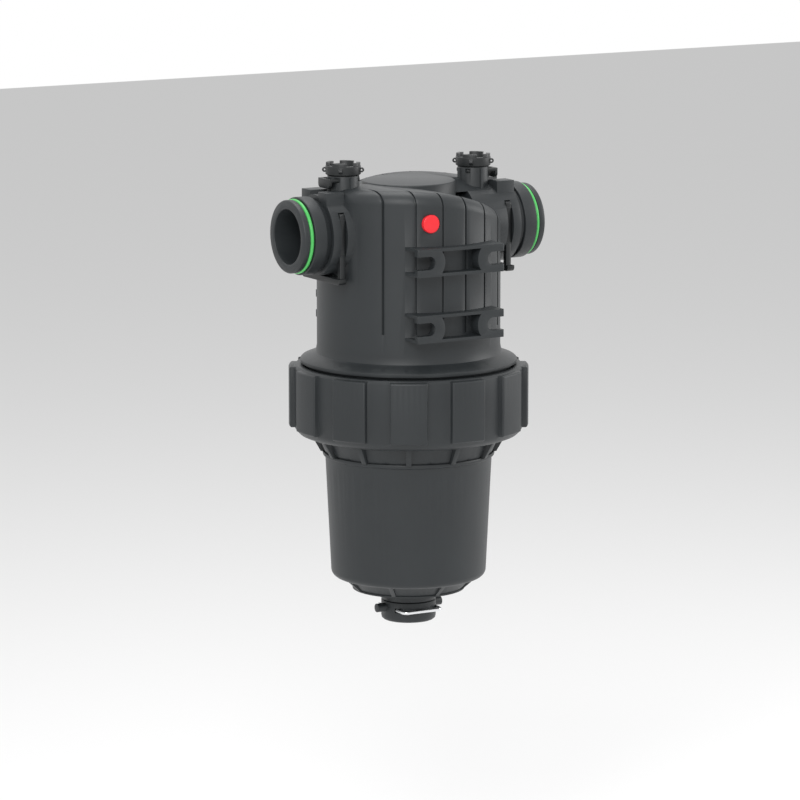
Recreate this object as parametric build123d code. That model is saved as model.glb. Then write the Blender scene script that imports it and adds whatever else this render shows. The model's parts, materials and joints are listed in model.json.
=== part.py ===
from build123d import *

import os
from math import atan2, cos, degrees, pi, radians, sin, sqrt

# Inline strainer with a grooved head, two fork-locked spigots in line, a lugged ring nut and a
# tapered bowl. Millimetres. +Z is up, X runs along the pipe from the inlet (-X) to the outlet (+X),
# and -Y is the front. The origin is on the bowl's axis, at the height of the lowest point.

# Clearances
running_gap = 0.3
seal_gap = 0.05
spigot_gap = 0.15
seam_turn = 50.0

# Head: body
head_r = 73.2
head_wall = 5.0
flange_r = 86.3
flange_z = 212.4
flange_rim = 2.4
foot_rise = 14.0
foot_step = 3.6
skirt_r = 82.4
skirt_wall = 6.4
skirt_drop = 42.1

# Head: grooved shoulder, high at the inlet on the front and at the outlet behind
roof_z = 356.6
roof_arc_r = 208.0
roof_peak_x = 40.0
shoulder_round = 10.5
roof_disc_r = 37.3
roof_disc_rise = 0.8
groove_count = 6
groove_first_x = -52.6
groove_pitch = 20.75
groove_width = 1.5
groove_depth = 1.5
groove_foot_z = 244.0

# Ports and spigots
port_z = 319.3
collar_r = 32.0
collar_end_x = 85.8
socket_r = 26.15
socket_floor_x = 62.0
port_bore_r = 21.7
duct_wall = 4.0
tip_x = 110.1
tip_r = 28.9
tip_round = 1.2
neck_groove_r = 28.0
neck_groove_end_x = 90.5
band_r = 30.8
band_end_x = 101.2
outer_seal_x = 103.1
outer_seal_r = 29.55
outer_seal_section = 1.55
inner_seal_x = 66.5
inner_seal_section = 1.3

# Port forks
fork_x = 76.0
fork_thick = 4.6
fork_leg = 4.6
fork_leg_y = 26.0
fork_bar_half = 30.4
fork_bar_height = 4.8
fork_leg_above_axis = 18.7
fork_lip = 2.0
window_half = 14.0
guide_inner_y = 6.4
guide_outer_y = 20.0
guide_rise = 34.7
guide_start_x = 70.0

# Gauge ports
gauge_x = 59.6
gauge_neck_r = 12.5
gauge_neck_z = 364.9
gauge_bore_r = 8.55
gauge_depth = 13.4
gauge_hole_r = 2.0
gauge_rib = 2.4
gauge_rib_r = 14.0
gauge_cap_r = 14.0
gauge_cap_z = 365.7
gauge_cap_height = 7.2
merlon_height = 2.3
merlon_depth = 3.2
merlon_half_angle = 23.0
ear_r = 1.9
ear_reach = 2.6
gauge_seal_section = 1.1
gauge_seal_rise = 2.2
gauge_fork_z = 362.0
gauge_fork_thick = 2.6
gauge_fork_leg = 2.6
gauge_fork_leg_y = 7.7
gauge_fork_reach = 17.6
gauge_fork_tail = 10.5
gauge_fork_droop = 5.0

# Mesh disc
disc_x = -20.6
disc_z = 331.7
disc_r = 7.2
disc_proud = 1.3
disc_seat = 2.0

# Brackets
bracket_length = 78.4
bracket_face_y = 82.7
bracket_height = 22.0
bracket_flange = 2.4
bracket_zs = (302.8, 250.7)
slot_width = 10.5
slot_centre_x = 29.0
slot_front_wall = 6.0
window_ring_r = 14.1

# Ring nut
nut_thread_gap = 2.0
nut_body_r = 91.8
nut_lug_r = 95.85
nut_lug_half_angle = 8.8
nut_lug_count = 12
nut_lug_top_z = 209.3
nut_lug_foot_z = 160.5
nut_lug_round = 1.6
nut_top_z = 210.3
nut_top_bevel = 2.0
nut_bottom_z = 154.0
nut_foot_r = 84.6
nut_lip_r = 80.7
nut_lip_thick = 6.6

# Bowl
bowl_flange_thick = 9.0
bowl_rim_height = 20.0
bowl_rim_wall = 5.6
bowl_wall = 4.0
lip_z = 138.2
lip_r = 68.9
lip_half = 1.3
bowl_top_r = 66.7
bowl_floor_r = 61.9
bowl_corner_z = 37.6
bowl_corner_round = 6.0
top_rib_count = 12
top_rib_thick = 4.1
top_rib_foot_r = 70.4
top_rib_head_r = 80.0
rib_relief = 3.4
foot_ring_r = 45.1
foot_ring_z = 27.5
foot_edge_r = 56.0
foot_rib_count = 8
foot_rib_thick = 3.4
bowl_seal_section = 1.7
bowl_seal_z = 183.0

# Drain
drain_neck_r = 22.0
drain_bore_r = 10.0
nipple_r = 17.0
nipple_end_z = 6.2
cap_r = 22.0
cap_bottom_z = 1.9
cap_top_z = 18.2
cap_floor = 3.4
cap_edge = 2.0
drain_fork_z = 11.7
drain_wire = 3.0
drain_leg_x = 17.2
drain_base_y = 22.4
drain_leg_tail = 17.0
drain_bend_r = 4.0
drain_seal_section = 1.0
drain_seal_z = 16.0
ear_boss_r = 3.5
ear_boss_reach = 29.6
ear_boss_z = 13.0
tab_x = 11.6
tab_y = -4.0
tab_length = 9.6
tab_width = 3.2

# Cartridge
cage_r = 52.0
cage_thick = 3.4
cage_bars = 8
cage_bar_width = 5.0
cage_hoops = 4
cage_hoop_height = 4.0
cage_foot_z = 56.0
cage_top_z = 236.0
screen_thick = 0.6
cap_plate = 4.0
foot_cap_depth = 8.0
plug_sleeve_r = 27.85
plug_sleeve_wall = 3.0
plug_sleeve_rise = 22.0
plug_seal_section = 1.4
plug_seal_rise = 15.0
outlet_socket_r = 28.0
outlet_socket_wall = 4.0
outlet_socket_lap = 16.0

skirt_in_r = skirt_r - skirt_wall
skirt_z = flange_z - skirt_drop
bowl_rim_r = skirt_in_r - 0.4
bowl_flange_z = skirt_z - running_gap
nut_bore_r = skirt_r + nut_thread_gap
bowl_flange_r = nut_bore_r - running_gap
sleeve_top_z = cage_top_z + cap_plate + plug_sleeve_rise


def turned(*points):
    """A solid of revolution about Z from an outline of (radius, height) points."""
    return revolve(Plane.XZ * make_face(Polyline(*points, close=True)), Axis.Z)


def block(x0, x1, y0, y1, z0, z1):
    """A box given by its limits."""
    centre = ((x0 + x1) / 2, (y0 + y1) / 2, (z0 + z1) / 2)
    return Pos(*centre) * Box(x1 - x0, y1 - y0, z1 - z0)


def post(radius, z0, z1, x=0.0, y=0.0):
    """An upright cylinder between two heights."""
    return Pos(x, y, (z0 + z1) / 2) * Cylinder(radius, z1 - z0)


def lying_along_x(radius, x0, x1, y=0.0, z=0.0):
    """A cylinder along X between two stations, its seam kept off the planes of symmetry."""
    return Pos((x0 + x1) / 2, y, z) * Rot(0, 90, 0) * Rot(0, 0, seam_turn) * Cylinder(radius, x1 - x0)


def lying_along_y(radius, y0, y1, x=0.0, z=0.0):
    """A cylinder along Y between two stations."""
    return Pos(x, (y0 + y1) / 2, z) * Rot(90, 0, 0) * Cylinder(radius, y1 - y0)


def on_port(part):
    """Lay a part that was turned about Z along the outlet's axis, its height becoming X."""
    return Pos(0, 0, port_z) * Rot(0, 90, 0) * part


def turned_about(part):
    """The same part on the opposite side of the upright axis."""
    return Rot(0, 0, 180) * part


def roof_at(x, inset=0.0):
    """Height of the front roof at a station along the pipe."""
    arc_r = roof_arc_r - inset
    return roof_z - roof_arc_r + sqrt(arc_r**2 - (x + roof_peak_x) ** 2)


def front_shoulder(inset=0.0):
    """Front half of the head under its arched roof, shrunk inwards by the inset."""
    reach = head_r + 2
    low = flange_z + foot_rise
    left = (-reach, roof_at(-reach, inset))
    middle = (0, roof_at(0, inset))
    right = (reach, roof_at(reach, inset))
    outline = Line((-reach, low), (reach, low)) + Line((reach, low), right)
    outline += ThreePointArc(right, middle, left) + Line(left, (-reach, low))
    slab = extrude(Plane.XZ * make_face(outline), amount=reach)
    form = slab & post(head_r - inset, low - 1, roof_z + 1)
    rim = [e for e in form.edges() if e.center().Y < -1 and e.center().Z > port_z]
    return fillet(rim, shoulder_round - inset)


def both_halves(inset=0.0):
    """The front half and its twin turned half round."""
    front = front_shoulder(inset)
    return front + turned_about(front)


def roof_ramp():
    """Slope between the high rear roof and the port tube on the low front side."""
    top = roof_z - 0.4
    span = top - port_z
    lean = sqrt(span**2 - collar_r**2)
    touch_y = collar_r * lean / span
    touch_z = port_z + collar_r * collar_r / span
    side = make_face(Polyline((0, top), (-touch_y, touch_z), (0, touch_z), close=True))
    return extrude(Plane.YZ * side, amount=gauge_x)


def shoulder_grooves():
    """Front grooves that run up the wall and over the rounded shoulder."""
    inner_r = head_r - 1.25 * shoulder_round
    zone = block(-head_r, head_r, -head_r - 2, 0, groove_foot_z, roof_z + 2)
    zone -= post(inner_r, groove_foot_z - 1, roof_z + 3)
    slabs = None
    for i in range(groove_count):
        x = groove_first_x + i * groove_pitch
        half = groove_width / 2
        slab = block(x - half, x + half, -head_r - 2, 0, groove_foot_z, roof_z + 2)
        slabs = slab if slabs is None else slabs + slab
    return (slabs & zone) - front_shoulder(groove_depth)


def bracket(height):
    """Front bracket with open T-slots at both ends and a window between them."""
    half = bracket_length / 2
    low = height - bracket_height / 2
    high = height + bracket_height / 2
    pocket_half = bracket_height / 2 - bracket_flange
    back_y = -bracket_face_y + slot_front_wall
    deep_y = -sqrt(head_r**2 - half**2) + 3
    body = block(-half, half, -bracket_face_y, deep_y, low, high)
    upright = [e for e in body.edges().filter_by(Axis.Z) if e.center().Y < back_y]
    body = fillet(upright, 1.5)
    window = block(
        -slot_centre_x, slot_centre_x, -bracket_face_y - 1, deep_y,
        height - pocket_half, height + pocket_half,
    )
    for side in (-1, 1):
        ring = lying_along_y(window_ring_r, -bracket_face_y - 2, deep_y, side * slot_centre_x, height)
        window -= ring
    body -= window
    for side in (-1, 1):
        x_in = side * slot_centre_x
        x_out = side * (half + 1)
        x0, x1 = min(x_in, x_out), max(x_in, x_out)
        slot = block(x0, x1, -bracket_face_y - 1, back_y + 1, height - slot_width / 2, height + slot_width / 2)
        slot += lying_along_y(slot_width / 2, -bracket_face_y - 1, back_y + 1, x_in, height)
        pocket = block(x0, x1, back_y, deep_y + 1, height - pocket_half, height + pocket_half)
        pocket += lying_along_y(pocket_half, back_y, deep_y + 1, x_in, height)
        body = body - slot - pocket
    return body


def port_collar():
    """Outlet collar that takes the spigot, with its fork slots, windows and guide blocks."""
    collar = lying_along_x(collar_r, 45, collar_end_x, z=port_z)
    for side in (-1, 1):
        y0, y1 = sorted((side * guide_inner_y, side * guide_outer_y))
        collar += block(guide_start_x, collar_end_x, y0, y1, port_z, port_z + guide_rise)
    return collar


def fork_slots():
    """Upright slots through the outlet collar for the fork's legs, and its side windows."""
    half_t = fork_thick / 2 + running_gap
    half_w = fork_leg / 2 + running_gap
    top = port_z + fork_leg_above_axis + 1
    cut = None
    for side in (-1, 1):
        y = side * fork_leg_y
        leg = block(fork_x - half_t, fork_x + half_t, y - half_w, y + half_w, port_z - collar_r - 2, top)
        y0, y1 = sorted((y, side * (collar_r + 2)))
        leg += block(fork_x - half_t, fork_x + half_t, y0, y1, port_z - window_half, port_z + window_half)
        cut = leg if cut is None else cut + leg
    return cut


def gauge_neck():
    """Small upright port over the outlet collar, with four outer ribs."""
    foot = port_z + collar_r - 8
    neck = post(gauge_neck_r, foot, gauge_neck_z, gauge_x)
    ribs = block(-gauge_rib_r, gauge_rib_r, -gauge_rib / 2, gauge_rib / 2, foot, gauge_neck_z - 1)
    ribs += block(-gauge_rib / 2, gauge_rib / 2, -gauge_rib_r, gauge_rib_r, foot, gauge_neck_z - 1)
    return neck + Pos(gauge_x, 0, 0) * ribs


def gauge_cuts():
    """Stem bore, sensing hole and fork slots of the outlet's gauge port."""
    floor = gauge_neck_z - gauge_depth
    cut = post(gauge_bore_r, floor, gauge_neck_z + 1, gauge_x)
    cut += post(gauge_hole_r, port_z, floor + 1, gauge_x)
    half_t = gauge_fork_thick / 2 + running_gap
    half_w = gauge_fork_leg / 2 + running_gap
    for side in (-1, 1):
        y = side * gauge_fork_leg_y
        cut += block(
            gauge_x - gauge_rib_r - 1, gauge_x + gauge_rib_r + 1, y - half_w, y + half_w,
            gauge_fork_z - half_t, gauge_fork_z + half_t,
        )
    return cut


def outlet_socket():
    """Duct inside the head that joins the cartridge's sleeve to the outlet."""
    outer_r = outlet_socket_r + outlet_socket_wall
    low = sleeve_top_z - outlet_socket_lap
    return post(outer_r, low, port_z) + lying_along_x(port_bore_r + duct_wall, -outer_r, 60, z=port_z)


def head_solid():
    """The whole head moulding."""
    cavity_r = head_r - head_wall
    low = flange_z + foot_rise
    shell = both_halves()
    shell += turned(
        (cavity_r, low + 1), (head_r, low + 1), (head_r, low), (head_r + 1.0, low - 6.0),
        (head_r + foot_step, flange_z + 6.6), (flange_r - 0.8, flange_z + flange_rim + 0.8),
        (flange_r, flange_z + flange_rim), (flange_r, flange_z), (skirt_r, flange_z),
        (skirt_r, skirt_z + 1.0), (skirt_r - 1.0, skirt_z), (skirt_in_r + 1.0, skirt_z),
        (skirt_in_r, skirt_z + 1.0), (skirt_in_r, flange_z - 18.0), (cavity_r, flange_z - 8.0),
    )
    ramp = roof_ramp() & post(head_r, port_z, roof_z + 1)
    grooves = shoulder_grooves()
    shell = shell - grooves - turned_about(grooves)
    disc_z0 = roof_z - 2 * shoulder_round
    disc = post(roof_disc_r, disc_z0, roof_z + roof_disc_rise)
    disc = chamfer(disc.edges().sort_by(Axis.Z)[-1], roof_disc_rise)
    shell = shell + ramp + turned_about(ramp) + disc
    neck = gauge_neck()
    collar = port_collar()
    shell = shell + collar + turned_about(collar) + neck + turned_about(neck)
    for height in bracket_zs:
        front = bracket(height)
        shell = shell + front + turned_about(front)
    inner = both_halves(head_wall)
    inner += post(cavity_r, flange_z - 9.0, low + 1.5)
    boss_half = socket_r + head_wall
    boss_x = socket_floor_x - head_wall
    boss = block(boss_x, head_r, -boss_half, boss_half, port_z - boss_half, roof_z)
    inner = inner - boss - turned_about(boss)
    shell = shell - inner + outlet_socket()
    bore = lying_along_x(port_bore_r, 0, collar_end_x, z=port_z)
    bore += lying_along_x(socket_r, socket_floor_x, collar_end_x + 1, z=port_z)
    inlet_bore = lying_along_x(port_bore_r, -collar_end_x, -40, z=port_z)
    inlet_bore += lying_along_x(socket_r, -collar_end_x - 1, -socket_floor_x, z=port_z)
    upright_bore = post(outlet_socket_r, sleeve_top_z - outlet_socket_lap - 1, sleeve_top_z + 3)
    upright_bore += post(port_bore_r, sleeve_top_z, port_z)
    cuts = bore + upright_bore + fork_slots() + gauge_cuts()
    shell = shell - cuts - inlet_bore - turned_about(fork_slots()) - turned_about(gauge_cuts())
    disc_floor_y = -sqrt(head_r**2 - disc_x**2) + disc_seat
    shell -= lying_along_y(disc_r + 0.05, -head_r - 2, disc_floor_y, disc_x, disc_z)
    return shell


def mesh_disc():
    """Round colour disc pressed into the head's front."""
    seat_y = -sqrt(head_r**2 - disc_x**2) + disc_seat
    face_y = seat_y - disc_seat - disc_proud
    disc = lying_along_y(disc_r, face_y, seat_y, disc_x, disc_z)
    return chamfer(disc.edges().sort_by(Axis.Y)[0], 0.4)


def spigot():
    """Outlet spigot: inner end in the collar, fork grooves, band, ring groove and tip."""
    r = socket_r - spigot_gap
    fork_floor = fork_leg_y - fork_leg / 2 - running_gap
    half_t = fork_thick / 2 + running_gap
    seal_floor = socket_r - 2 * inner_seal_section
    ring_floor = outer_seal_r - 2 * outer_seal_section
    ring_end = band_end_x + 2 * outer_seal_section + 0.7
    return on_port(turned(
        (port_bore_r, socket_floor_x), (r - 1.0, socket_floor_x), (r, socket_floor_x + 1.0),
        (r, inner_seal_x - 1.5), (seal_floor, inner_seal_x - 1.5),
        (seal_floor, inner_seal_x + 1.5), (r, inner_seal_x + 1.5),
        (r, fork_x - half_t), (fork_floor, fork_x - half_t),
        (fork_floor, fork_x + half_t), (r, fork_x + half_t),
        (r, collar_end_x), (neck_groove_r, collar_end_x), (neck_groove_r, neck_groove_end_x),
        (band_r - 0.4, neck_groove_end_x), (band_r, neck_groove_end_x + 0.4),
        (band_r, band_end_x - 0.4), (band_r - 0.4, band_end_x), (ring_floor, band_end_x),
        (ring_floor, ring_end), (tip_r, ring_end), (tip_r, tip_x - tip_round),
        (tip_r - 0.35 * tip_round, tip_x - 0.35 * tip_round), (tip_r - tip_round, tip_x),
        (port_bore_r + 0.5, tip_x), (port_bore_r, tip_x - 0.5),
    ))


def outer_seal():
    """Ring near the outlet spigot's tip."""
    ring = Torus(outer_seal_r - outer_seal_section, outer_seal_section)
    return on_port(Pos(0, 0, outer_seal_x) * ring)


def inner_seal():
    """Ring between the outlet spigot and its collar."""
    ring = Torus(socket_r - inner_seal_section, inner_seal_section)
    return on_port(Pos(0, 0, inner_seal_x) * ring)


def port_fork():
    """U fork that is pushed up through the outlet collar across the spigot's groove."""
    x0 = fork_x - fork_thick / 2
    x1 = fork_x + fork_thick / 2
    top = port_z + fork_leg_above_axis
    bar_top = port_z - collar_r - running_gap
    bar_low = bar_top - fork_bar_height
    bar = block(x0, x1 + fork_lip, -fork_bar_half, fork_bar_half, bar_low, bar_top)
    bar = fillet([e for e in bar.edges().filter_by(Axis.X) if e.center().Z < bar_low + 0.1], 3.0)
    fork = bar
    for side in (-1, 1):
        y = side * fork_leg_y
        leg = block(x0, x1, y - fork_leg / 2, y + fork_leg / 2, bar_low + 1, top)
        tip = leg.edges().filter_by(Axis.X).group_by(Axis.Z)[-1]
        fork += chamfer(tip, 1.2)
    return fork


def gauge_plug():
    """Castellated plug in the outlet's gauge port."""
    stem_r = gauge_bore_r - spigot_gap
    floor = gauge_neck_z - gauge_depth + 0.4
    seal_floor = gauge_bore_r - 2 * gauge_seal_section
    seal_z = floor + gauge_seal_rise
    fork_floor = gauge_fork_leg_y - gauge_fork_leg / 2 - running_gap
    half_t = gauge_fork_thick / 2 + running_gap
    cap_top = gauge_cap_z + gauge_cap_height
    plug = turned(
        (0, floor), (stem_r - 0.5, floor), (stem_r, floor + 0.5), (stem_r, seal_z - 1.2),
        (seal_floor, seal_z - 1.2), (seal_floor, seal_z + 1.2), (stem_r, seal_z + 1.2),
        (stem_r, gauge_fork_z - half_t), (fork_floor, gauge_fork_z - half_t),
        (fork_floor, gauge_fork_z + half_t), (stem_r, gauge_fork_z + half_t),
        (stem_r, gauge_neck_z), (gauge_neck_r - 1.2, gauge_neck_z), (gauge_neck_r - 1.2, gauge_cap_z),
        (gauge_cap_r - 0.5, gauge_cap_z), (gauge_cap_r, gauge_cap_z + 0.5),
        (gauge_cap_r, cap_top - 0.5), (gauge_cap_r - 0.5, cap_top),
        (gauge_cap_r - merlon_depth, cap_top), (gauge_cap_r - merlon_depth, cap_top - 3.0),
        (0, cap_top - 3.0),
    )
    crown = turned(
        (gauge_cap_r - merlon_depth, cap_top - 0.5), (gauge_cap_r - 0.4, cap_top - 0.5),
        (gauge_cap_r - 0.4, cap_top + merlon_height), (gauge_cap_r - merlon_depth, cap_top + merlon_height),
    )
    half_width = gauge_cap_r * sin(radians(merlon_half_angle))
    gate = block(0, 2 * gauge_cap_r, -half_width, half_width, cap_top - 1, cap_top + 5)
    mid = (gauge_cap_z + cap_top) / 2
    for angle in (45, 135, 225, 315):
        plug += crown & (Rot(0, 0, angle) * gate)
        ear = lying_along_y(ear_r, -1.4, 1.4, gauge_cap_r + ear_reach - ear_r, mid)
        ear += block(gauge_cap_r - 1, gauge_cap_r + ear_reach - ear_r, -1.4, 1.4, mid - ear_r, mid + ear_r)
        ear -= lying_along_y(0.8, -2, 2, gauge_cap_r + ear_reach - ear_r, mid)
        plug += Rot(0, 0, angle + 8) * ear
    return Pos(gauge_x, 0, 0) * plug


def gauge_seal():
    """Ring on the outlet gauge plug's stem."""
    z = gauge_neck_z - gauge_depth + 0.4 + gauge_seal_rise
    ring = Torus(gauge_bore_r - gauge_seal_section, gauge_seal_section)
    return Pos(gauge_x, 0, z) * ring


def gauge_fork():
    """Small fork through the outlet's gauge neck, with a drooping bend to pull it by."""
    z0 = gauge_fork_z - gauge_fork_thick / 2
    z1 = gauge_fork_z + gauge_fork_thick / 2
    outer = gauge_x + gauge_fork_reach
    fork = None
    for side in (-1, 1):
        y = side * gauge_fork_leg_y
        leg = block(gauge_x - gauge_fork_tail, outer, y - gauge_fork_leg / 2, y + gauge_fork_leg / 2, z0, z1)
        tip = [e for e in leg.edges().filter_by(Axis.Z) if e.center().X < gauge_x]
        leg = chamfer(tip, 0.8)
        fork = leg if fork is None else fork + leg
    half = gauge_fork_leg_y + gauge_fork_leg / 2
    bend = block(outer - gauge_fork_leg, outer, -half, half, z0 - gauge_fork_droop, z1)
    bend = fillet(bend.edges().filter_by(Axis.X).group_by(Axis.Z)[0], 3.0)
    return fork + bend


def ring_nut():
    """Ring nut that carries the bowl's flange on its lip, with grip lugs around it."""
    seat_z = nut_bottom_z + nut_lip_thick
    nut = turned(
        (nut_lip_r, nut_bottom_z + 1.0), (nut_lip_r + 1.0, nut_bottom_z), (nut_foot_r, nut_bottom_z),
        (nut_foot_r + 3.2, nut_bottom_z + 1.2), (nut_body_r - 1.6, nut_bottom_z + 3.6),
        (nut_body_r, nut_bottom_z + 6.5), (nut_body_r, nut_top_z - nut_top_bevel),
        (nut_body_r - nut_top_bevel, nut_top_z), (nut_bore_r + 1.0, nut_top_z),
        (nut_bore_r, nut_top_z - 1.0), (nut_bore_r, seat_z), (nut_lip_r, seat_z),
    )
    ring = post(nut_lug_r, nut_lug_foot_z, nut_lug_top_z) - post(nut_bore_r + 2, 0, nut_top_z)
    half = nut_lug_r * sin(radians(nut_lug_half_angle))
    lug = ring & block(0, nut_lug_r + 1, -half, half, nut_lug_foot_z, nut_lug_top_z)
    lug = fillet([e for e in lug.edges() if e.center().X > nut_body_r + 1], nut_lug_round)
    step = 360 / nut_lug_count
    for i in range(nut_lug_count):
        nut += Rot(0, 0, i * step) * lug
    return nut


def fin(thick, *points):
    """A radial web from an outline of (radius, height) points, centred on the XZ plane."""
    face = Plane.XZ * make_face(Polyline(*points, close=True))
    return extrude(face, amount=thick / 2, both=True)


def bowl():
    """Tapered bowl with its flange, rim, two ribbed skirts and the drain nipple."""
    seat_z = nut_bottom_z + nut_lip_thick + running_gap
    flange_top = bowl_flange_z
    rim_top = flange_top + bowl_rim_height
    rim_in = bowl_rim_r - bowl_rim_wall
    groove_floor = skirt_in_r - seal_gap - 2 * bowl_seal_section
    lip_low = lip_z - lip_half
    lip_high = lip_z + lip_half
    wall_in = bowl_top_r - bowl_wall
    floor_in = bowl_floor_r - bowl_wall
    nipple_floor = drain_leg_x - drain_wire / 2 - running_gap
    half_t = drain_wire / 2 + running_gap
    seal_floor = cap_inner_r() - 2 * drain_seal_section
    foot_top = cap_top_z + 0.6
    body = turned(
        (rim_in, rim_top), (bowl_rim_r - 0.8, rim_top), (bowl_rim_r, rim_top - 0.8),
        (bowl_rim_r, bowl_seal_z + 2.0), (groove_floor, bowl_seal_z + 2.0),
        (groove_floor, bowl_seal_z - 2.0), (bowl_rim_r, bowl_seal_z - 2.0),
        (bowl_rim_r, flange_top), (bowl_flange_r, flange_top), (bowl_flange_r, seat_z),
        (top_rib_head_r - rib_relief, seat_z), (top_rib_foot_r - rib_relief, lip_high),
        (lip_r - 0.4, lip_high), (lip_r, lip_z), (lip_r - 0.4, lip_low), (bowl_top_r, lip_low - 1.0),
        (bowl_floor_r, bowl_corner_z), (foot_edge_r - rib_relief, bowl_corner_z),
        (foot_ring_r - 0.6, foot_ring_z + 1.6), (foot_ring_r, foot_ring_z + 1.2),
        (foot_ring_r, foot_ring_z), (foot_ring_r - 3.4, foot_ring_z), (foot_ring_r - 3.4, foot_ring_z + 1.4),
        (drain_neck_r, foot_ring_z + 1.4), (drain_neck_r, foot_top), (nipple_r, foot_top),
        (nipple_r, drain_seal_z + 1.2), (seal_floor, drain_seal_z + 1.2),
        (seal_floor, drain_seal_z - 1.2), (nipple_r, drain_seal_z - 1.2),
        (nipple_r, drain_fork_z + half_t), (nipple_floor, drain_fork_z + half_t),
        (nipple_floor, drain_fork_z - half_t), (nipple_r, drain_fork_z - half_t),
        (nipple_r, nipple_end_z + 0.8), (nipple_r - 0.8, nipple_end_z), (drain_bore_r, nipple_end_z),
        (drain_bore_r, bowl_corner_z + bowl_wall), (floor_in - 6.0, bowl_corner_z + bowl_wall),
        (floor_in, bowl_corner_z + bowl_wall + 6.0), (wall_in, lip_low - 1.0),
        (rim_in, seat_z),
    )
    corner = [
        e for e in body.edges().filter_by(GeomType.CIRCLE)
        if abs(e.radius - bowl_floor_r) < 0.01 and abs(e.center().Z - bowl_corner_z) < 0.01
    ]
    body = fillet(corner, bowl_corner_round)
    rib = fin(
        top_rib_thick, (top_rib_foot_r - rib_relief - 1, lip_z), (top_rib_foot_r, lip_z + 0.8),
        (top_rib_head_r, seat_z - 5.0), (top_rib_head_r, seat_z + 1), (top_rib_head_r - 6, seat_z + 1),
    )
    for i in range(top_rib_count):
        body += Rot(0, 0, i * 360 / top_rib_count) * rib
    web = fin(
        foot_rib_thick, (foot_ring_r - 2, foot_ring_z + 0.6), (foot_ring_r, foot_ring_z + 0.6),
        (foot_edge_r, bowl_corner_z + 0.2), (foot_edge_r - 6, bowl_corner_z + 0.2),
    )
    for i in range(foot_rib_count):
        body += Rot(0, 0, i * 360 / foot_rib_count) * web
    return body


def cap_inner_r():
    """Bore of the drain cap, a running fit on the bowl's nipple."""
    return nipple_r + spigot_gap


def bowl_seal():
    """Ring between the bowl's rim and the head's skirt."""
    ring = Torus(skirt_in_r - seal_gap - bowl_seal_section, bowl_seal_section)
    return Pos(0, 0, bowl_seal_z) * ring


def drain_cap():
    """Cap over the bowl's nipple, with fork slots, side ears and a tab underneath."""
    bore = cap_inner_r()
    cap = turned(
        (0, cap_bottom_z), (cap_r - cap_edge, cap_bottom_z), (cap_r - 0.5, cap_bottom_z + 0.6 * cap_edge),
        (cap_r, cap_bottom_z + 1.6 * cap_edge), (cap_r, cap_top_z - 0.5), (cap_r - 0.5, cap_top_z),
        (bore, cap_top_z), (bore, cap_bottom_z + cap_floor), (0, cap_bottom_z + cap_floor),
    )
    for side in (-1, 1):
        x0, x1 = sorted((side * (cap_r - 1), side * ear_boss_reach))
        cap += lying_along_x(ear_boss_r, x0, x1, 0, ear_boss_z)
    half = drain_wire / 2 + running_gap
    for side in (-1, 1):
        x = side * drain_leg_x
        cap -= block(x - half, x + half, -cap_r - 1, cap_r + 1, drain_fork_z - half, drain_fork_z + half)
    tab = block(
        tab_x - tab_length / 2, tab_x + tab_length / 2, tab_y - tab_width / 2, tab_y + tab_width / 2,
        0, cap_bottom_z + 1,
    )
    return cap + tab


def drain_seal():
    """Ring on the bowl's nipple inside the drain cap."""
    return Pos(0, 0, drain_seal_z) * Torus(cap_inner_r() - drain_seal_section, drain_seal_section)


def drain_fork():
    """Bent wire fork that holds the drain cap on the nipple."""
    x = drain_leg_x
    y = -drain_base_y - drain_wire / 2
    path = FilletPolyline(
        (-x, drain_leg_tail, drain_fork_z), (-x, y, drain_fork_z),
        (x, y, drain_fork_z), (x, drain_leg_tail, drain_fork_z), radius=drain_bend_r,
    )
    start = Plane(origin=(-x, drain_leg_tail, drain_fork_z), z_dir=(0, -1, 0))
    return sweep(start * Circle(drain_wire / 2), path=path)


def cartridge_cage():
    """Open basket of upright bars and hoops that carries the screen."""
    inner_r = cage_r - cage_thick
    cage = post(cage_r, cage_foot_z, cage_top_z) - post(inner_r, cage_foot_z - 1, cage_top_z + 1)
    bay = (cage_top_z - cage_foot_z - cage_hoop_height) / cage_hoops
    open_half = pi * cage_r / cage_bars - cage_bar_width / 2
    gates = None
    for i in range(cage_bars // 2):
        gate = block(-cage_r - 1, cage_r + 1, -open_half, open_half, cage_foot_z - 1, cage_top_z + 1)
        gate = Rot(0, 0, i * 360 / cage_bars) * gate
        gates = gate if gates is None else gates + gate
    for i in range(cage_hoops):
        low = cage_foot_z + cage_hoop_height + i * bay
        storey = post(cage_r + 2, low, low + bay - cage_hoop_height)
        cage -= gates & storey
    return cage


def cartridge_screen():
    """Mesh sleeve inside the cage."""
    outer = cage_r - cage_thick
    sleeve = post(outer, cage_foot_z, cage_top_z)
    return sleeve - post(outer - screen_thick, cage_foot_z - 1, cage_top_z + 1)


def cartridge_top_cap():
    """Ring plate over the cage with the sleeve that plugs into the head's socket."""
    plate_top = cage_top_z + cap_plate
    inner = plug_sleeve_r - plug_sleeve_wall
    seal_z = plate_top + plug_seal_rise
    floor = outlet_socket_r - 2 * plug_seal_section
    return turned(
        (inner, cage_top_z), (cage_r, cage_top_z), (cage_r, plate_top), (plug_sleeve_r, plate_top),
        (plug_sleeve_r, seal_z - 1.6), (floor, seal_z - 1.6), (floor, seal_z + 1.6),
        (plug_sleeve_r, seal_z + 1.6), (plug_sleeve_r, sleeve_top_z - 1.0),
        (plug_sleeve_r - 1.0, sleeve_top_z), (inner, sleeve_top_z),
    )


def cartridge_bottom_cap():
    """Closed foot of the cartridge."""
    low = cage_foot_z - foot_cap_depth
    return turned(
        (0, low + 4.0), (cage_r - 16.0, low + 4.0), (cage_r - 14.0, low), (cage_r - 11.0, low),
        (cage_r - 9.0, low + 4.0), (cage_r, low + 4.0), (cage_r, cage_foot_z), (0, cage_foot_z),
    )


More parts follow.
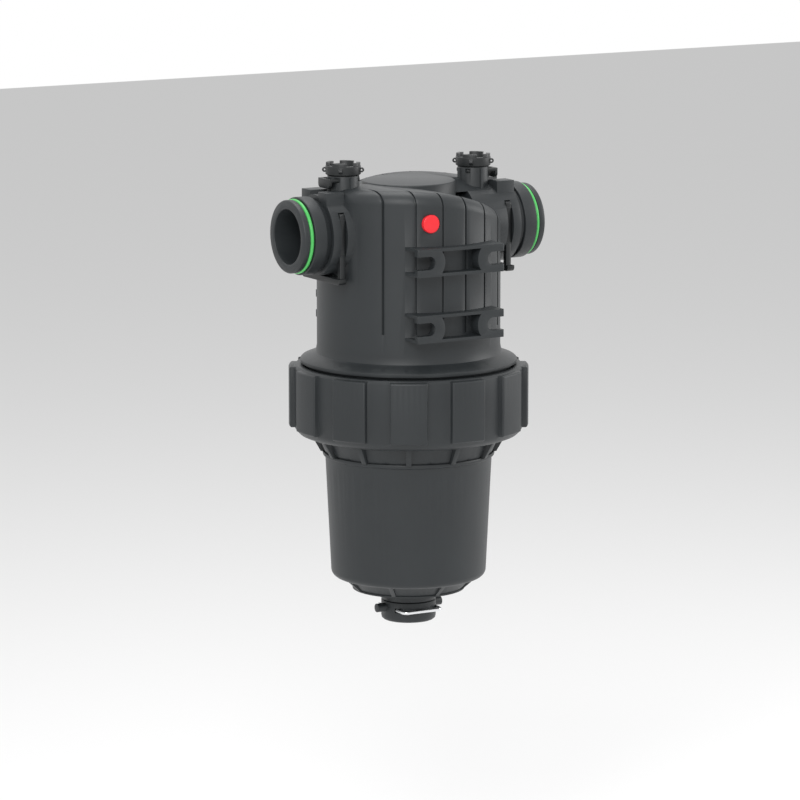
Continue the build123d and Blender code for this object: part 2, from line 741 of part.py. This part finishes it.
def cartridge_seal():
    """Ring on the cartridge's sleeve."""
    z = cage_top_z + cap_plate + plug_seal_rise
    return Pos(0, 0, z) * Torus(outlet_socket_r - plug_seal_section, plug_seal_section)


def save(part, name):
    """Write one piece as its own file."""
    export_step(part, f"parts/{name}.step")
    print(name, "written")


def main():
    os.makedirs("parts", exist_ok=True)
    save(head_solid(), "head")
    save(mesh_disc(), "mesh_disc")
    paired = {
        "adaptor": spigot(),
        "outer_seal": outer_seal(),
        "inner_seal": inner_seal(),
        "fork": port_fork(),
        "gauge_plug": gauge_plug(),
        "gauge_seal": gauge_seal(),
        "gauge_fork": gauge_fork(),
    }
    for name, part in paired.items():
        save(part, f"outlet_{name}")
        save(turned_about(part), f"inlet_{name}")
    save(ring_nut(), "ring_nut")
    save(bowl(), "bowl")
    save(bowl_seal(), "bowl_seal")
    save(drain_cap(), "drain_cap")
    save(drain_seal(), "drain_seal")
    save(drain_fork(), "drain_fork")
    save(cartridge_cage(), "cartridge_cage")
    save(cartridge_screen(), "cartridge_screen")
    save(cartridge_top_cap(), "cartridge_top_cap")
    save(cartridge_bottom_cap(), "cartridge_bottom_cap")
    save(cartridge_seal(), "cartridge_seal")


main()
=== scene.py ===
import json
import math

import bmesh
import bpy
from mathutils import Matrix, Vector

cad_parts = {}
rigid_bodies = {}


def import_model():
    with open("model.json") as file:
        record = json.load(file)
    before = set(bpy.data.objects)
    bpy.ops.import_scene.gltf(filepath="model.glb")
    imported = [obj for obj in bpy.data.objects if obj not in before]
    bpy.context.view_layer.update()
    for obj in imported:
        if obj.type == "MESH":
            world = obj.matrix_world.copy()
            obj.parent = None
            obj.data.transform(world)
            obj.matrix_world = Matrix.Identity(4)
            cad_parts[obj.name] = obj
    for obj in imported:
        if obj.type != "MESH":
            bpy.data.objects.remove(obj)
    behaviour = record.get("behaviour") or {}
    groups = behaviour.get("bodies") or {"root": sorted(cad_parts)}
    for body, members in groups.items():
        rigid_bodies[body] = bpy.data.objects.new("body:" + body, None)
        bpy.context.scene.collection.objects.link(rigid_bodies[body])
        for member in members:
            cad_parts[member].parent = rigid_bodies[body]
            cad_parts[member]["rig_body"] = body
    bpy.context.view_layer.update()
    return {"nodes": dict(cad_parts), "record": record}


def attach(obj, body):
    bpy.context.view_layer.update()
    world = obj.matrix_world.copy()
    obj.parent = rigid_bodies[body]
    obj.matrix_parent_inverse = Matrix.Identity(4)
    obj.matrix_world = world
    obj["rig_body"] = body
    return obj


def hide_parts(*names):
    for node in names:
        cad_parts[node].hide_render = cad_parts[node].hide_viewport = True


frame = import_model()
mm = 0.001
print("frame loaded:", len(frame["nodes"]), "nodes")


# Node and colour helpers

def srgb(hexText):
    # sRGB hex to linear, with full alpha
    values = [int(hexText[i:i + 2], 16) / 255 for i in (1, 3, 5)]
    linear = [v / 12.92 if v <= 0.04045 else ((v + 0.055) / 1.055) ** 2.4 for v in values]
    return (*linear, 1.0)


def addNode(tree, kind, settings=None, links=None):
    # settings: attribute or input values; links: input -> output socket
    node = tree.nodes.new(kind)
    for key, value in (settings or {}).items():
        if isinstance(key, str) and hasattr(node, key):
            setattr(node, key, value)
        else:
            node.inputs[key].default_value = value
    for key, socket in (links or {}).items():
        tree.links.new(socket, node.inputs[key])
    return node


def newMaterial(name):
    material = bpy.data.materials.new(name)
    material.use_nodes = True
    material.node_tree.nodes.clear()
    return material, material.node_tree


def finishMaterial(tree, shader):
    addNode(tree, "ShaderNodeOutputMaterial", links={"Surface": shader.outputs["BSDF"]})


def patternScale(sizeMm):
    # noise and voronoi cells are about one unit wide over the scale, and the mesh is in metres
    return 1000.0 / sizeMm


# Materials

mouldedNylon = {
    "low": "#232628", "high": "#2b2f31", "roughness": (0.40, 0.52),
    "grainMm": 0.9, "grainMicrons": 14, "flowMm": 38.0, "specular": 0.42,
}


def makeMouldedPlastic(name, look):
    # Glass-filled nylon from a spark-eroded mould: matte, with a fine even grain and faint flow clouds
    material, tree = newMaterial(name)
    place = addNode(tree, "ShaderNodeTexCoord")
    clouds = addNode(tree, "ShaderNodeTexNoise",
                     {"Scale": patternScale(look["flowMm"]), "Detail": 3.0, "Roughness": 0.55},
                     {"Vector": place.outputs["Object"]})
    grain = addNode(tree, "ShaderNodeTexNoise",
                    {"Scale": patternScale(look["grainMm"]), "Detail": 2.0, "Roughness": 0.6},
                    {"Vector": place.outputs["Object"]})
    tint = addNode(tree, "ShaderNodeMix", {"data_type": "RGBA"}, {"Factor": clouds.outputs["Fac"]})
    tint.inputs[6].default_value = srgb(look["low"])
    tint.inputs[7].default_value = srgb(look["high"])
    rough = addNode(tree, "ShaderNodeMapRange",
                    {"To Min": look["roughness"][0], "To Max": look["roughness"][1]},
                    {"Value": grain.outputs["Fac"]})
    bump = addNode(tree, "ShaderNodeBump",
                   {"Strength": 0.35, "Distance": look["grainMicrons"] * 0.001 * mm},
                   {"Height": grain.outputs["Fac"]})
    shader = addNode(tree, "ShaderNodeBsdfPrincipled",
                     {"IOR": 1.5, "Specular IOR Level": look["specular"]},
                     {"Base Color": tint.outputs[2], "Roughness": rough.outputs["Result"],
                      "Normal": bump.outputs["Normal"]})
    finishMaterial(tree, shader)
    return material


greenRubber = {"low": "#3fae50", "high": "#5cc76a", "roughness": 0.38, "speckMm": 2.5}
blackRubber = {"low": "#141516", "high": "#1b1c1d", "roughness": 0.48, "speckMm": 3.0}


def makeRubber(name, look):
    # Compression-moulded EPDM: smooth and slightly waxy, no grain, a faint bloom in patches
    material, tree = newMaterial(name)
    place = addNode(tree, "ShaderNodeTexCoord")
    bloom = addNode(tree, "ShaderNodeTexNoise",
                    {"Scale": patternScale(look["speckMm"]), "Detail": 2.0},
                    {"Vector": place.outputs["Object"]})
    tint = addNode(tree, "ShaderNodeMix", {"data_type": "RGBA"}, {"Factor": bloom.outputs["Fac"]})
    tint.inputs[6].default_value = srgb(look["low"])
    tint.inputs[7].default_value = srgb(look["high"])
    shader = addNode(tree, "ShaderNodeBsdfPrincipled",
                     {"IOR": 1.5, "Roughness": look["roughness"], "Specular IOR Level": 0.45},
                     {"Base Color": tint.outputs[2]})
    finishMaterial(tree, shader)
    return material


redDisc = {"low": "#f0222c", "high": "#f7303a", "roughness": 0.34, "cloudMm": 5.0}


def makeRedPlastic(name, look):
    # Injection-moulded ABS, dyed through: even colour, semi-gloss
    material, tree = newMaterial(name)
    place = addNode(tree, "ShaderNodeTexCoord")
    cloud = addNode(tree, "ShaderNodeTexNoise",
                    {"Scale": patternScale(look["cloudMm"]), "Detail": 1.0},
                    {"Vector": place.outputs["Object"]})
    tint = addNode(tree, "ShaderNodeMix", {"data_type": "RGBA"}, {"Factor": cloud.outputs["Fac"]})
    tint.inputs[6].default_value = srgb(look["low"])
    tint.inputs[7].default_value = srgb(look["high"])
    shader = addNode(tree, "ShaderNodeBsdfPrincipled",
                     {"IOR": 1.5, "Roughness": look["roughness"]},
                     {"Base Color": tint.outputs[2]})
    finishMaterial(tree, shader)
    return material


brightWire = {"low": "#d6d8da", "high": "#f2f3f4", "roughness": (0.12, 0.24), "drawMm": 0.5}


def makeDrawnSteel(name, look):
    # Cold-drawn stainless wire: bright, with fine lines left by the die
    material, tree = newMaterial(name)
    place = addNode(tree, "ShaderNodeTexCoord")
    lines = addNode(tree, "ShaderNodeTexNoise",
                    {"Scale": patternScale(look["drawMm"]), "Detail": 2.0},
                    {"Vector": place.outputs["Object"]})
    tint = addNode(tree, "ShaderNodeMix", {"data_type": "RGBA"}, {"Factor": lines.outputs["Fac"]})
    tint.inputs[6].default_value = srgb(look["low"])
    tint.inputs[7].default_value = srgb(look["high"])
    rough = addNode(tree, "ShaderNodeMapRange",
                    {"To Min": look["roughness"][0], "To Max": look["roughness"][1]},
                    {"Value": lines.outputs["Fac"]})
    shader = addNode(tree, "ShaderNodeBsdfPrincipled", {"Metallic": 1.0},
                     {"Base Color": tint.outputs[2], "Roughness": rough.outputs["Result"]})
    finishMaterial(tree, shader)
    return material


forkPlastic = {
    "low": "#1a1c1d", "high": "#212425", "roughness": (0.36, 0.46),
    "grainMm": 0.7, "grainMicrons": 8, "flowMm": 22.0, "specular": 0.42,
}
cagePlastic = {
    "low": "#2a3b4d", "high": "#30455a", "roughness": (0.38, 0.5),
    "grainMm": 0.8, "grainMicrons": 8, "flowMm": 30.0, "specular": 0.4,
}
materials = {
    "glass_filled_black": makeMouldedPlastic("glassFilledNylonMoulded", mouldedNylon),
    "fork_plastic": makeMouldedPlastic("acetalMoulded", forkPlastic),
    "cage_plastic": makeMouldedPlastic("polypropyleneMoulded", cagePlastic),
    "green_rubber": makeRubber("greenRubberMoulded", greenRubber),
    "black_rubber": makeRubber("blackRubberMoulded", blackRubber),
    "red_plastic": makeRedPlastic("redAbsMoulded", redDisc),
    "stainless_wire": makeDrawnSteel("stainlessWireDrawn", brightWire),
    "stainless_mesh": makeDrawnSteel("stainlessMeshWoven", brightWire),
}
print("materials made:", len(materials))


def nodeSlot(node):
    for row in frame["record"]["subparts"]:
        if row["node"] == node:
            return row["material_slot"]
    return None


def wear(obj, slotName):
    obj.data.materials.clear()
    obj.data.materials.append(materials[slotName])


# Moulded pieces: each CAD solid gets its small edge radii

edgeRadius = {
    "head": 0.55, "ring_nut": 0.6, "bowl": 0.5, "drain_cap": 0.45,
    "inlet_adaptor": 0.4, "outlet_adaptor": 0.4, "inlet_fork": 0.45, "outlet_fork": 0.45,
    "inlet_gauge_plug": 0.3, "outlet_gauge_plug": 0.3,
    "inlet_gauge_fork": 0.35, "outlet_gauge_fork": 0.35,
}


def soften(node, radiusMm):
    source = frame["nodes"][node]
    mesh = source.data.copy()
    bm = bmesh.new()
    bm.from_mesh(mesh)
    bmesh.ops.remove_doubles(bm, verts=bm.verts, dist=0.002 * mm)
    bmesh.ops.dissolve_degenerate(bm, edges=bm.edges, dist=0.002 * mm)
    bmesh.ops.dissolve_limit(bm, angle_limit=math.radians(0.6), verts=bm.verts, edges=bm.edges)
    bm.to_mesh(mesh)
    bm.free()
    piece = bpy.data.objects.new(node + "_moulding", mesh)
    bpy.context.scene.collection.objects.link(piece)
    bevel = piece.modifiers.new("edge", "BEVEL")
    bevel.width = radiusMm * mm
    bevel.segments = 2
    bevel.limit_method = "ANGLE"
    bevel.angle_limit = math.radians(38)
    bevel.use_clamp_overlap = True
    bevel.miter_outer = "MITER_ARC"
    evaluated = piece.evaluated_get(bpy.context.evaluated_depsgraph_get())
    finished = bpy.data.meshes.new_from_object(evaluated)
    piece.modifiers.clear()
    piece.data = finished
    finished.shade_smooth()
    finished.set_sharp_from_angle(angle=math.radians(32))
    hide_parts(node)
    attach(piece, source["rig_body"])
    wear(piece, nodeSlot(node))
    return piece


for nodeName, obj in frame["nodes"].items():
    wear(obj, nodeSlot(nodeName))
for nodeName, radius in edgeRadius.items():
    soften(nodeName, radius)
print("mouldings softened:", len(edgeRadius))


# Stage, light and camera

stageLook = {"floorZ": -0.262, "size": 12.0, "floor": "#f4f4f4", "fill": 0.62}


def makeFloor(look):
    mesh = bpy.data.meshes.new("floor")
    half = look["size"] / 2
    z = look["floorZ"]
    corners = [(-half, -half, z), (half, -half, z), (half, half, z), (-half, half, z)]
    mesh.from_pydata(corners, [], [(0, 1, 2, 3)])
    floor = bpy.data.objects.new("floor", mesh)
    bpy.context.scene.collection.objects.link(floor)
    material, tree = newMaterial("paintedFloor")
    shader = addNode(tree, "ShaderNodeBsdfPrincipled",
                     {"Base Color": srgb(look["floor"]), "Roughness": 0.9, "Specular IOR Level": 0.0})
    finishMaterial(tree, shader)
    mesh.materials.append(material)
    return floor


def makeWorld(look):
    world = bpy.data.worlds.new("studio")
    bpy.context.scene.world = world
    world.use_nodes = True
    tree = world.node_tree
    tree.nodes.clear()
    path = addNode(tree, "ShaderNodeLightPath")
    seen = addNode(tree, "ShaderNodeMath", {"operation": "MAXIMUM"},
                   {0: path.outputs["Is Camera Ray"], 1: path.outputs["Is Transmission Ray"]})
    shown = addNode(tree, "ShaderNodeMath", {"operation": "MAXIMUM"},
                    {0: seen.outputs[0], 1: path.outputs["Is Glossy Ray"]})
    level = addNode(tree, "ShaderNodeMapRange", {"To Min": look["fill"], "To Max": 1.0},
                    {"Value": shown.outputs[0]})
    back = addNode(tree, "ShaderNodeBackground", {"Color": (1, 1, 1, 1)},
                   {"Strength": level.outputs["Result"]})
    addNode(tree, "ShaderNodeOutputWorld", links={"Surface": back.outputs["Background"]})


lamps = {
    "key": {"at": (-1.3, -1.5, 1.5), "size": 1.1, "watts": 26.0},
    "side": {"at": (1.7, -0.6, 0.7), "size": 0.9, "watts": 10.0},
    "top": {"at": (0.1, 0.5, 2.0), "size": 1.2, "watts": 16.0},
}


def makeLamp(name, look, aim):
    light = bpy.data.lights.new(name, "AREA")
    light.shape = "SQUARE"
    light.size = look["size"]
    light.energy = look["watts"]
    lamp = bpy.data.objects.new(name, light)
    bpy.context.scene.collection.objects.link(lamp)
    lamp.location = look["at"]
    lamp.rotation_euler = (aim - lamp.location).to_track_quat("-Z", "Y").to_euler()


cameraLook = {
    "azimuth": -30.05, "elevation": 9.93, "focalPixels": 4700.6, "framePixels": 800,
    "mmPerPixel": 0.8, "sidePixels": -8.55, "aimZ": 0.18, "sensor": 36.0,
}


def makeCamera(look):
    a = math.radians(look["azimuth"])
    e = math.radians(look["elevation"])
    back = Vector((math.sin(a) * math.cos(e), -math.cos(a) * math.cos(e), math.sin(e)))
    right = Vector((math.cos(a), math.sin(a), 0))
    aim = right * look["sidePixels"] * look["mmPerPixel"] * mm + Vector((0, 0, look["aimZ"]))
    data = bpy.data.cameras.new("camera")
    data.sensor_width = look["sensor"]
    data.lens = look["sensor"] * look["focalPixels"] / look["framePixels"]
    data.clip_end = 50
    camera = bpy.data.objects.new("camera", data)
    bpy.context.scene.collection.objects.link(camera)
    camera.location = aim + back * look["focalPixels"] * look["mmPerPixel"] * mm
    camera.rotation_euler = (-back).to_track_quat("-Z", "Y").to_euler()
    bpy.context.scene.camera = camera


makeFloor(stageLook)
makeWorld(stageLook)
for lampName, lampLook in lamps.items():
    makeLamp(lampName, lampLook, Vector((0, 0, 0.2)))
makeCamera(cameraLook)
bpy.context.scene.view_settings.view_transform = "Standard"
print("stage, lamps and camera made")
